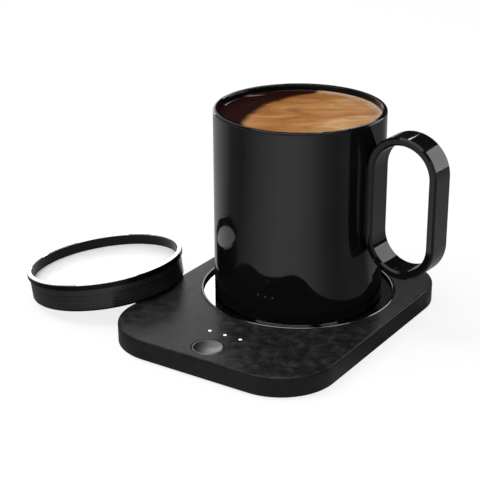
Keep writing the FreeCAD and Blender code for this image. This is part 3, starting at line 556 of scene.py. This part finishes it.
# %% Leads, fuse and sensor
red_lead = new_finish("red_silicone_lead", (0.4, 0.02, 0.018), 0.42)
graded(red_lead, clouds(red_lead, 4 * MM), [
    (0.3, (0.32, 0.014, 0.012)), (0.7, (0.46, 0.03, 0.026))])
ranged(red_lead, clouds(red_lead, 1.5 * MM), 0.36, 0.52)
raised(red_lead, clouds(red_lead, 0.3 * MM), 0.01 * MM)
dress(red_lead, "heater_wires", "supply_wires")

black_lead = new_finish("black_sensor_lead", (0.03, 0.03, 0.03), 0.45)
graded(black_lead, clouds(black_lead, 3 * MM), [
    (0.3, (0.02, 0.02, 0.02)), (0.7, (0.045, 0.045, 0.045))])
ranged(black_lead, clouds(black_lead, 1.2 * MM), 0.38, 0.55)
raised(black_lead, clouds(black_lead, 0.25 * MM), 0.01 * MM)
dress(black_lead, "sensor_wires")

fuse_case = new_finish("fuse_case", (0.62, 0.58, 0.5), 0.3, metallic=1.0)
graded(fuse_case, clouds(fuse_case, 2 * MM, stretch=(1, 0.2, 1)), [
    (0.3, (0.5, 0.46, 0.38)), (0.7, (0.7, 0.66, 0.58))])
ranged(fuse_case, clouds(fuse_case, 1 * MM), 0.22, 0.4)
raised(fuse_case, clouds(fuse_case, 0.4 * MM), 0.004 * MM)
dress(fuse_case, "thermal_fuse")

bead = new_finish("glass_sensor_bead", (0.2, 0.05, 0.025), 0.12, coat=0.6)
graded(bead, clouds(bead, 0.9 * MM), [(0.3, (0.13, 0.03, 0.015)), (0.7, (0.27, 0.08, 0.04))])
ranged(bead, clouds(bead, 0.7 * MM), 0.08, 0.2)
raised(bead, clouds(bead, 0.8 * MM), 0.02 * MM)
dress(bead, "temperature_sensor")

# %% [markdown]
# ## The drink
# The mug is nearly full. A liquid's top is flat, but it climbs the wall a little, so the surface
# turns up at its edge. The simplest good way is to draw half of that outline once and turn it
# around the mug's axis, down to the floor, which also closes the body. The points are joined by
# hand into rings, and the two middle points close the ends.

# %% Drink body
drink_radius = 38.45 * MM
drink_top = mug_high.z - 3.6 * MM
drink_floor = plate_high.z + 4.05 * MM
drink_corner = 3.6 * MM


def turned_body(name, outline, centre, steps=128):
    """Closed mesh from an outline of (radius, height) points, first and last on the axis."""
    shape = bmesh.new()
    rings = []
    for radius, height in outline:
        if radius == 0:
            rings.append([shape.verts.new((centre.x, centre.y, height))])
            continue
        ring = []
        for step in range(steps):
            angle = 2 * math.pi * step / steps
            ring.append(shape.verts.new((centre.x + radius * math.cos(angle),
                                         centre.y + radius * math.sin(angle), height)))
        rings.append(ring)
    for upper, lower in zip(rings, rings[1:]):
        for step in range(steps):
            after = (step + 1) % steps
            corners = []
            for ring, index in ((upper, step), (lower, step), (lower, after), (upper, after)):
                vert = ring[index % len(ring)]
                if vert not in corners:
                    corners.append(vert)
            shape.faces.new(corners).smooth = True
    bmesh.ops.recalc_face_normals(shape, faces=shape.faces)
    mesh = bpy.data.meshes.new(name)
    shape.to_mesh(mesh)
    shape.free()
    body = bpy.data.objects.new(name, mesh)
    scene.collection.objects.link(body)
    return body


flat_shares = (0.2, 0.4, 0.6, 0.75, 0.85, 0.92)
# How far each point of the climbing edge is from the wall, and how high it is, in millimetres.
climbing_edge = ((2.0, 0.02), (1.4, 0.06), (0.9, 0.14), (0.5, 0.27), (0.25, 0.42), (0.08, 0.6),
                 (0.0, 0.75))
outline = [(0, drink_top)]
outline += [(drink_radius * share, drink_top) for share in flat_shares]
outline += [(drink_radius - inset * MM, drink_top + climb * MM) for inset, climb in climbing_edge]
outline += [(drink_radius, drink_top - 2 * MM), (drink_radius, drink_floor + drink_corner),
            (drink_radius - drink_corner, drink_floor), (0, drink_floor)]
drink = turned_body("drink", outline, seat_centre)
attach(drink, "mug")
print("drink: surface", round(drink_top / MM, 2), "mm up,", len(drink.data.polygons), "faces")

# %% [markdown]
# The drink is two things: dark coffee, clear and smooth, and a tan foam that has drifted to one
# side. The foam's edge is an arc, so its share at a point comes from the distance to that arc's
# centre, made uneven with clouds. Inside the foam, long soft streaks of a darker tan swirl. They
# are clouds drawn out in one direction by a Mapping node. Where the foam meets the wall it is pale
# with fine bubbles. One thin pale streak on the dark liquid is a painted highlight, where the
# liquid climbs the back left wall. It is part of a spiral, so it lies where the distance from the
# mug's axis fits the direction from it.

# %% Foam: where it lies and its colours
coffee = new_finish("coffee_and_foam", (0.3, 0.15, 0.05), 0.3, ior=1.34)
foam_centre = Vector((42.9 * MM, 18.7 * MM, drink_top))
foam_radius, foam_edge = 62.0 * MM, 3.5 * MM
edge_wobble = numbers_along(coffee, clouds(coffee, 14 * MM, detail=3), -1.0 * MM, 1.0 * MM)
from_edge = sums(coffee, "ADD", distance_from(coffee, foam_centre, LEVEL_ONLY), edge_wobble)
foam_share = numbers_along(coffee, from_edge, 1, 0, foam_radius, foam_radius + foam_edge)
drawn_out = add_node(coffee, "ShaderNodeMapping", vector_type="TEXTURE")
drawn_out.inputs["Rotation"].default_value = (0, 0, turn)
drawn_out.inputs["Scale"].default_value = (1.9, 0.9, 1)
join(coffee, place(coffee, seat_centre), drawn_out.inputs["Vector"])
swirls = noise_over(coffee, drawn_out.outputs["Vector"], 13 * MM, 4.0, 0.5, 0.8)
streaks = sums(coffee, "ADD", swirls,
               numbers_along(coffee, from_edge, 0.07, -0.03, 15 * MM, 50 * MM))
foam_tan = colours_along(coffee, streaks, [
    (0.30, (0.25, 0.080, 0.010)), (0.42, (0.33, 0.120, 0.015)), (0.50, (0.39, 0.155, 0.024)),
    (0.60, (0.44, 0.210, 0.066)), (0.75, (0.62, 0.36, 0.140))])
from_axis = distance_from(coffee, seat_centre, LEVEL_ONLY)
wall_wobble = numbers_along(coffee, clouds(coffee, 7 * MM, shift=(0.1, 0, 0)),
                            -1.2 * MM, 1.2 * MM)
near_wall = sums(coffee, "ADD", from_axis, wall_wobble)
pale_share = numbers_along(coffee, near_wall, 0, 0.85, 35.2 * MM, 37.9 * MM)
foam_colour = mix_of(coffee, pale_share, foam_tan, (0.50, 0.39, 0.31))
print("foam: an arc of", round(foam_radius / MM, 1), "mm around its centre")

# %% A painted highlight on the dark liquid
painted_highlight_direction, spiral_growth = math.radians(158), 8.4 * MM
spiral_start = 36.6 * MM - math.radians(153) * spiral_growth
direction = bearing_round(coffee, seat_centre)
off_turn = sums(coffee, "ABSOLUTE", sums(coffee, "SUBTRACT", direction, painted_highlight_direction))
grown_radius = sums(coffee, "MULTIPLY", direction, spiral_growth)
spiral_radius = sums(coffee, "ADD", grown_radius, spiral_start)
off_ring = sums(coffee, "ABSOLUTE", sums(coffee, "SUBTRACT", from_axis, spiral_radius))
# The pale line is a painted highlight where the liquid climbs the back left wall.
painted_highlight_share = sums(coffee, "MULTIPLY",
                    numbers_along(coffee, off_turn, 1, 0, math.radians(3), math.radians(10)),
                    numbers_along(coffee, off_ring, 1, 0, 0.25 * MM, 0.9 * MM))
# Dark coffee with the painted highlight's pale colour mixed in.
coffee_and_painted_highlight = mix_of(coffee, painted_highlight_share, (0.020, 0.006, 0.005), (0.24, 0.17, 0.14))
print("streak: towards", round(math.degrees(painted_highlight_direction)), "degrees from +X")

# %% Coffee and foam together
blended(coffee, foam_share, coffee_and_painted_highlight, foam_colour)
ranged(coffee, foam_share, 0.04, 0.42, 0.2, 0.9)
froth = sums(coffee, "MULTIPLY", cells(coffee, 0.9 * MM), foam_share)
raised(coffee, froth, 0.05 * MM)
raised(coffee, sums(coffee, "MULTIPLY", streaks, foam_share), 0.08 * MM)
drink.data.materials.append(coffee)
print(coffee.name, "on", drink.name)

# %% [markdown]
# ## Bubbles by Geometry Nodes
# A row of small bubbles clings to the wall where the foam meets it. Placing them by hand would be
# dull, and they follow a simple rule: points along an arc, each moved a little, each with its own
# size. A Geometry Nodes tree says that rule once. It has named inputs, a fixed seed, and it ends
# by realising the copies, so that what leaves the tree is plain mesh.

# %% Helpers for Geometry Nodes
# A Random Value node keeps its sockets for single numbers after those for vectors.
FLOAT_MIN, FLOAT_MAX, FLOAT_VALUE = 2, 3, 1


def new_tree(name, inputs):
    """A tree with named inputs; returns it, the inputs' sockets and the result's socket."""
    tree = bpy.data.node_groups.new(name, "GeometryNodeTree")
    tree.interface.new_socket("Geometry", in_out="INPUT", socket_type="NodeSocketGeometry")
    for label, kind in inputs:
        tree.interface.new_socket(label, in_out="INPUT", socket_type="NodeSocket" + kind)
    tree.interface.new_socket("Geometry", in_out="OUTPUT", socket_type="NodeSocketGeometry")
    start, end = tree.nodes.new("NodeGroupInput"), tree.nodes.new("NodeGroupOutput")
    return tree, start.outputs, end.inputs["Geometry"]


def tree_node(tree, kind, inputs, **settings):
    """One node with its settings; each input gets a wire or a plain value."""
    made = tree.nodes.new(kind)
    for key, value in settings.items():
        setattr(made, key, value)
    for label, value in inputs.items():
        if isinstance(value, bpy.types.NodeSocket):
            tree.links.new(value, made.inputs[label])
        else:
            made.inputs[label].default_value = value
    return made


def upright(tree, height):
    """A vector that points up by a height."""
    return tree_node(tree, "ShaderNodeCombineXYZ", {"Z": height}).outputs["Vector"]


def end_tree(tree, copies, shift, material, result):
    """Moves the copies to their place, makes them plain mesh and gives them their material."""
    moved = tree_node(tree, "GeometryNodeTransform", {
        "Geometry": copies.outputs["Instances"], "Translation": shift})
    real = tree_node(tree, "GeometryNodeRealizeInstances", {
        "Geometry": moved.outputs["Geometry"]})
    coloured = tree_node(tree, "GeometryNodeSetMaterial", {
        "Geometry": real.outputs["Geometry"], "Material": material})
    tree.links.new(coloured.outputs["Geometry"], result)
    print(tree.name, "has", len(tree.nodes), "nodes")


def grown(name, tree, values, body):
    """Runs a tree on an empty mesh and keeps its result as a plain mesh that rides on a body."""
    holder = bpy.data.objects.new(name, bpy.data.meshes.new(name))
    scene.collection.objects.link(holder)
    modifier = holder.modifiers.new("rule", "NODES")
    modifier.node_group = tree
    for item in tree.interface.items_tree:
        if item.in_out == "INPUT" and item.name in values:
            modifier[item.identifier] = values[item.name]
    bpy.context.view_layer.update()
    evaluated = holder.evaluated_get(bpy.context.evaluated_depsgraph_get())
    mesh = bpy.data.meshes.new_from_object(evaluated)
    holder.modifiers.clear()
    holder.data = mesh
    mesh.name = name
    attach(holder, body)
    print(name, "has", len(mesh.polygons), "faces")
    return holder


# %% Tree for a ring of bubbles
bubble_tree, given, result = new_tree("ring_of_bubbles", [
    ("Ring radius", "Float"), ("Start", "Float"), ("Sweep", "Float"), ("Count", "Int"),
    ("Smallest", "Float"), ("Largest", "Float"), ("Scatter", "Float"), ("Height", "Float"),
    ("Centre", "Vector"), ("Seed", "Int"), ("Material", "Material")])
arc = tree_node(bubble_tree, "GeometryNodeCurveArc", {
    "Resolution": 96, "Radius": given["Ring radius"], "Start Angle": given["Start"],
    "Sweep Angle": given["Sweep"]})
points = tree_node(bubble_tree, "GeometryNodeCurveToPoints", {
    "Curve": arc.outputs["Curve"], "Count": given["Count"]}, mode="COUNT")
reach = tree_node(bubble_tree, "ShaderNodeCombineXYZ", {
    "X": given["Scatter"], "Y": given["Scatter"]})
opposite = tree_node(bubble_tree, "ShaderNodeVectorMath", {
    "Scale": -1, 0: reach.outputs["Vector"]}, operation="SCALE")
shifts = tree_node(bubble_tree, "FunctionNodeRandomValue", {
    "Min": opposite.outputs["Vector"], "Max": reach.outputs["Vector"], "Seed": given["Seed"]},
    data_type="FLOAT_VECTOR")
scattered = tree_node(bubble_tree, "GeometryNodeSetPosition", {
    "Geometry": points.outputs["Points"], "Offset": shifts.outputs["Value"]})
bubble = tree_node(bubble_tree, "GeometryNodeMeshUVSphere", {
    "Segments": 8, "Rings": 5, "Radius": 1})
smooth = tree_node(bubble_tree, "GeometryNodeSetShadeSmooth", {"Geometry": bubble.outputs["Mesh"]})
sizes = tree_node(bubble_tree, "FunctionNodeRandomValue", {
    FLOAT_MIN: given["Smallest"], FLOAT_MAX: given["Largest"], "Seed": given["Seed"]},
    data_type="FLOAT")
copies = tree_node(bubble_tree, "GeometryNodeInstanceOnPoints", {
    "Points": scattered.outputs["Geometry"], "Instance": smooth.outputs["Geometry"],
    "Scale": sizes.outputs[FLOAT_VALUE]})
lifted_centre = tree_node(bubble_tree, "ShaderNodeVectorMath", {
    0: given["Centre"], 1: upright(bubble_tree, given["Height"])}, operation="ADD")
end_tree(bubble_tree, copies, lifted_centre.outputs["Vector"], given["Material"], result)

# %% Bubbles at the wall
bubble_film = new_finish("bubble_film", (0.55, 0.36, 0.2), 0.14, ior=1.33)
graded(bubble_film, clouds(bubble_film, 1.5 * MM), [
    (0.3, (0.40, 0.22, 0.1)), (0.7, (0.72, 0.54, 0.36))])
ranged(bubble_film, clouds(bubble_film, 0.5 * MM), 0.08, 0.25)
grown("drink_bubbles", bubble_tree, {
    "Ring radius": drink_radius - 0.75 * MM, "Start": math.radians(-112),
    "Sweep": math.radians(220), "Count": 130, "Smallest": 0.12 * MM, "Largest": 0.42 * MM,
    "Scatter": 0.22 * MM, "Height": drink_top + 0.12 * MM, "Centre": seat_centre, "Seed": 7,
    "Material": bubble_film}, "mug")

# %% [markdown]
# ## Screw heads by Geometry Nodes
# Four screws hold the base's cover. The measured screws have plain round heads, which is right for
# their fit but dull to look at from below. The tree turns one into a real screw: a head with a
# crossed drive recess, cut with a mesh boolean, and a shank, copied to the four corners of a grid.
# The result stands for the measured screws, so it keeps their exact places and sizes.

# %% Tree for recessed screws
screw_tree, given, result = new_tree("four_recessed_screws", [
    ("Head radius", "Float"), ("Head height", "Float"), ("Shank radius", "Float"),
    ("Shank length", "Float"), ("Recess width", "Float"), ("Recess depth", "Float"),
    ("Spread X", "Float"), ("Spread Y", "Float"), ("Low face", "Float"),
    ("Material", "Material")])
recess_reach = 1.15
pin_sides = 40


def sum_node(operation, first, second):
    """A sum inside the screw tree."""
    made = tree_node(screw_tree, "ShaderNodeMath", {0: first, 1: second}, operation=operation)
    return made.outputs["Value"]


def pin(radius, depth, lift):
    """An upright cylinder of the screw tree, its middle lifted."""
    made = tree_node(screw_tree, "GeometryNodeMeshCylinder", {
        "Vertices": pin_sides, "Radius": radius, "Depth": depth})
    shifted = tree_node(screw_tree, "GeometryNodeTransform", {
        "Geometry": made.outputs["Mesh"], "Translation": upright(screw_tree, lift)})
    return shifted.outputs["Geometry"]


def recess_bar(long_axis, short_axis):
    """One bar of the crossed recess, twice as deep as the cut, because half of it is outside."""
    size = tree_node(screw_tree, "ShaderNodeCombineXYZ", {
        long_axis: sum_node("MULTIPLY", given["Head radius"], recess_reach),
        short_axis: given["Recess width"],
        "Z": sum_node("MULTIPLY", given["Recess depth"], 2.0)})
    bar = tree_node(screw_tree, "GeometryNodeMeshCube", {"Size": size.outputs["Vector"]})
    return bar.outputs["Mesh"]


head = pin(given["Head radius"], given["Head height"],
           sum_node("MULTIPLY", given["Head height"], 0.5))
cut = tree_node(screw_tree, "GeometryNodeMeshBoolean", {"Mesh 1": head}, operation="DIFFERENCE")
for bar in (recess_bar("X", "Y"), recess_bar("Y", "X")):
    screw_tree.links.new(bar, cut.inputs["Mesh 2"])
half_shank = sum_node("MULTIPLY", given["Shank length"], 0.5)
shank = pin(given["Shank radius"], given["Shank length"],
            sum_node("ADD", given["Head height"], half_shank))
whole = tree_node(screw_tree, "GeometryNodeJoinGeometry", {})
for piece in (cut.outputs["Mesh"], shank):
    screw_tree.links.new(piece, whole.inputs["Geometry"])
grid = tree_node(screw_tree, "GeometryNodeMeshGrid", {
    "Vertices X": 2, "Vertices Y": 2, "Size X": given["Spread X"], "Size Y": given["Spread Y"]})
copies = tree_node(screw_tree, "GeometryNodeInstanceOnPoints", {
    "Points": grid.outputs["Mesh"], "Instance": whole.outputs["Geometry"]})
low_face = upright(screw_tree, given["Low face"])
end_tree(screw_tree, copies, low_face, given["Material"], result)

# %% Recessed screws in the cover
screws_low, screws_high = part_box("case_screws")
head_radius, head_height = 2.2 * MM, 1.0 * MM
screws = grown("recessed_case_screws", screw_tree, {
    "Head radius": head_radius, "Head height": head_height, "Shank radius": 1.1 * MM,
    "Shank length": screws_high.z - screws_low.z - head_height, "Recess width": 0.55 * MM,
    "Recess depth": 0.55 * MM, "Spread X": screws_high.x - screws_low.x - 2 * head_radius,
    "Spread Y": screws_high.y - screws_low.y - 2 * head_radius, "Low face": screws_low.z,
    "Material": zinc}, "base")
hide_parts("case_screws")

# %% [markdown]
# ## The studio
# Black gloss shows the room more than itself. The floor is plain and white to the camera and keeps
# the object's soft shadow. In the reflections it is a studio floor with paler and darker stretches
# around the set, which gives the mug its soft upright bands. Around the set stand a low, an upper
# and a far backdrop, a tall card at the back right and a high card behind, and two panels hang
# overhead. Only reflections see these, so the light on the object stays plain. The backdrops and
# the cards are also left out of a reflection in a reflection, which would draw them twice.

# %% Helpers for the studio
def studio_sheet(name, verts, faces, finish):
    """A stage mesh that isn't part of the object."""
    mesh = bpy.data.meshes.new(name)
    mesh.from_pydata(verts, [], faces)
    mesh.materials.append(finish)
    sheet = bpy.data.objects.new(name, mesh)
    scene.collection.objects.link(sheet)
    print(name, "has", len(faces), "faces")
    return sheet


def in_reflections_only(sheet):
    """Hides a sheet from the camera, from soft light and from shadows."""
    sheet.visible_camera = False
    sheet.visible_diffuse = False
    sheet.visible_shadow = False


def bare_finish(name):
    """A material without the usual shader, and its output."""
    finish = bpy.data.materials.new(name)
    finish.use_nodes = True
    finish.node_tree.nodes.clear()
    return finish, add_node(finish, "ShaderNodeOutputMaterial")


def glow(finish, level):
    """An emitting shader of one grey level or of a wired one."""
    made = add_node(finish, "ShaderNodeEmission")
    join(finish, level, made.inputs["Strength"])
    return made.outputs["Emission"]


# %% What the floor shows in reflections
floor_finish, floor_end = bare_finish("pale_floor")
# Degrees around the seat, counted from the camera's side, and the grey level there.
studio_tones = [
    (-180, 0.45), (-122, 0.50), (-107, 0.38), (-95, 0.16), (-75, 0.15), (-60, 0.36),
    (-42, 0.62), (-24, 0.80), (-4, 0.78), (12, 0.62), (30, 0.28), (44, 0.17), (60, 0.22),
    (84, 0.14), (94, 0.36), (112, 0.24), (130, 0.14), (180, 0.45)]
to_camera = math.atan2(camera_place.y - seat_centre.y, camera_place.x - seat_centre.x)
around = bearing_round(floor_finish, seat_centre)
relative = sums(floor_finish, "SUBTRACT", around, to_camera - math.pi)
share_round = sums(floor_finish, "FRACT", sums(floor_finish, "DIVIDE", relative, 2 * math.pi))
tones = colours_along(floor_finish, share_round, [
    ((degrees + 180) / 360, (level, level, level)) for degrees, level in studio_tones])
reflected = add_node(floor_finish, "ShaderNodeEmission")
join(floor_finish, tones, reflected.inputs["Color"])
print(len(studio_tones), "grey levels around the seat")

# %% Floor
light_colour, camera_colour, camera_glow = 0.75, 0.2, 0.82
ray = add_node(floor_finish, "ShaderNodeLightPath")
seen = ray.outputs["Is Camera Ray"]
mirrored = sums(floor_finish, "MAXIMUM", ray.outputs["Is Glossy Ray"],
                ray.outputs["Is Transmission Ray"])
plain = add_node(floor_finish, "ShaderNodeBsdfDiffuse")
join(floor_finish, numbers_along(floor_finish, seen, light_colour, camera_colour, 0, 1),
     plain.inputs["Color"])
lit = add_node(floor_finish, "ShaderNodeAddShader")
join(floor_finish, plain.outputs["BSDF"], lit.inputs[0])
join(floor_finish, glow(floor_finish, sums(floor_finish, "MULTIPLY", seen, camera_glow)),
     lit.inputs[1])
either = add_node(floor_finish, "ShaderNodeMixShader")
join(floor_finish, mirrored, either.inputs["Fac"])
join(floor_finish, lit.outputs["Shader"], either.inputs[1])
join(floor_finish, reflected.outputs["Emission"], either.inputs[2])
join(floor_finish, either.outputs["Shader"], floor_end.inputs["Surface"])
floor_corners = [(-4, -4, 0), (4, -4, 0), (4, 4, 0), (-4, 4, 0)]
studio_sheet("floor", floor_corners, [(0, 1, 2, 3)], floor_finish)

# %% Backdrops and cards
# Glossy Depth counts the reflections, so a value under this one means the first.
FIRST_REFLECTION = 1.5


def curved_wall(name, radius, bottom, top, start, end, level, steps):
    """An upright strip around the seat, between two directions in degrees from +X."""
    finish, end_node = bare_finish(name)
    depth = add_node(finish, "ShaderNodeLightPath").outputs["Glossy Depth"]
    first = sums(finish, "LESS_THAN", depth, FIRST_REFLECTION)
    join(finish, glow(finish, sums(finish, "MULTIPLY", first, level)), end_node.inputs["Surface"])
    verts = []
    for step in range(steps + 1):
        angle = math.radians(start + (end - start) * step / steps)
        x = seat_centre.x + radius * math.cos(angle)
        y = seat_centre.y + radius * math.sin(angle)
        verts += [(x, y, bottom), (x, y, top)]
    faces = [(2 * i, 2 * i + 1, 2 * i + 3, 2 * i + 2) for i in range(steps)]
    in_reflections_only(studio_sheet(name, verts, faces, finish))


# Name, radius, bottom and top in millimetres, start and end in degrees, level, faces.
for name, radius, bottom, top, start, end, level, steps in (
        ("low_backdrop", 330, 30, 195, 130.8, 164, 1.7, 24),
        ("upper_backdrop", 330, 195, 520, 130.8, 164, 0.7, 24),
        ("far_backdrop", 450, 0, 300, 170, 352, 0.35, 96),
        ("tall_card", 322, 78, 266, 37, 68, 2.2, 24),
        ("high_card", 322, 264, 700, 98, 113, 5.5, 24)):
    curved_wall(name, radius * MM, bottom * MM, top * MM, start, end, level, steps)

# %% Overhead panels
overhead_finish, overhead_end = bare_finish("overhead_panels")
panel_level, panel_height = 1.2, 0.8
join(overhead_finish, glow(overhead_finish, panel_level), overhead_end.inputs["Surface"])
panel_corners = [(x, y, panel_height) for x, y in (
    (-0.46, -0.70), (0.37, -0.70), (0.37, 0.10), (-0.46, 0.10),
    (0.485, -0.40), (0.70, -0.40), (0.70, 0.27), (0.485, 0.27))]
in_reflections_only(studio_sheet("overhead_panels", panel_corners, [(3, 2, 1, 0), (7, 6, 5, 4)],
                                 overhead_finish))

# %% [markdown]
# The air around the studio gives most of the light: an even grey from all sides, which is almost
# black in reflections and white to the camera. One large soft lamp, high at the front left, adds a
# direction, and neither the camera nor reflections see it.

# %% World and lamp
world = bpy.data.worlds.new("studio_air")
world.use_nodes = True
scene.world = world
world.node_tree.nodes.clear()
ray = add_node(world, "ShaderNodeLightPath")
air_level = mix_of(world, ray.outputs["Is Glossy Ray"], (0.65, 0.65, 0.65), (0.015, 0.015, 0.015))
direct = sums(world, "MAXIMUM", ray.outputs["Is Camera Ray"], ray.outputs["Is Transmission Ray"])
background = add_node(world, "ShaderNodeBackground")
join(world, mix_of(world, direct, air_level, (1, 1, 1)), background.inputs["Color"])
world_end = add_node(world, "ShaderNodeOutputWorld")
join(world, background.outputs["Background"], world_end.inputs["Surface"])

lamp = bpy.data.lights.new("soft_key", "AREA")
lamp.shape = "DISK"
lamp.size = 0.9
lamp.energy = 8
key = bpy.data.objects.new("soft_key", lamp)
lamp_target = Vector((0, 0, 0.03))
key.location = (-0.45, -0.35, 1.15)
key.rotation_euler = (lamp_target - key.location).to_track_quat("-Z", "Y").to_euler()
key.visible_glossy = False
key.visible_camera = False
scene.collection.objects.link(key)
scene.view_settings.view_transform = "Standard"
print("studio ready, lamp of", lamp.energy, "W")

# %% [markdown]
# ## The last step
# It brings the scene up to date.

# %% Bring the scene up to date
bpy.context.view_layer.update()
